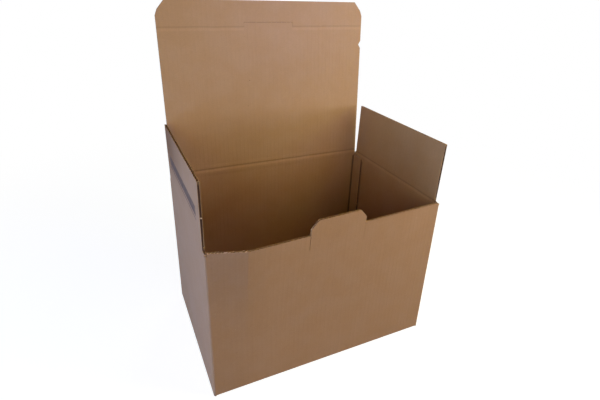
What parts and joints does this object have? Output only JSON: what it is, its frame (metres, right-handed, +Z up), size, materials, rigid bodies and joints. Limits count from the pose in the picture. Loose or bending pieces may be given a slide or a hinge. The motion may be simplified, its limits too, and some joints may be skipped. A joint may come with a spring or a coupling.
{
  "type": "corrugated mailer box",
  "caption": "Open corrugated board mailer box with a hinged lid, its tuck flap, two dust flaps and a lock tab on the front wall.",
  "frame": {"origin": "middle of the four walls' footprint, on the underside of the bottom", "axes": "+X to the right seen from the front, +Y from the front wall to the rear wall that carries the lid, +Z up"},
  "size_m": [0.4031, 0.309, 0.5705],
  "materials": {
    "kraft_board": "matt brown kraft liner, faint flute lines"
  },
  "bodies": {
    "box": {"box_body": "kraft_board"},
    "lid_panel": {"lid": "kraft_board"},
    "tuck": {"tuck_flap": "kraft_board"},
    "left_flap": {"left_dust_flap": "kraft_board"},
    "right_flap": {"right_dust_flap": "kraft_board"}
  },
  "joints": [
    {"name": "lid_hinge", "type": "hinge", "parent": "box", "child": "lid_panel", "pos_m": [0, 0.1332, 0.2712], "axis": [1, 0, 0], "range_deg": [-100, 88.9]},
    {"name": "tuck_hinge", "type": "hinge", "parent": "lid_panel", "child": "tuck", "pos_m": [0, 0.15217, 0.5295], "axis": [1, 0, 0], "range_deg": [0, 90]},
    {"name": "left_flap_hinge", "type": "hinge", "parent": "box", "child": "left_flap", "pos_m": [-0.1982, 0, 0.2672], "axis": [0, 1, 0], "range_deg": [-100, 90.5]},
    {"name": "right_flap_hinge", "type": "hinge", "parent": "box", "child": "right_flap", "pos_m": [0.1982, 0, 0.2672], "axis": [0, -1, 0], "range_deg": [-100, 91.2]}
  ]
}
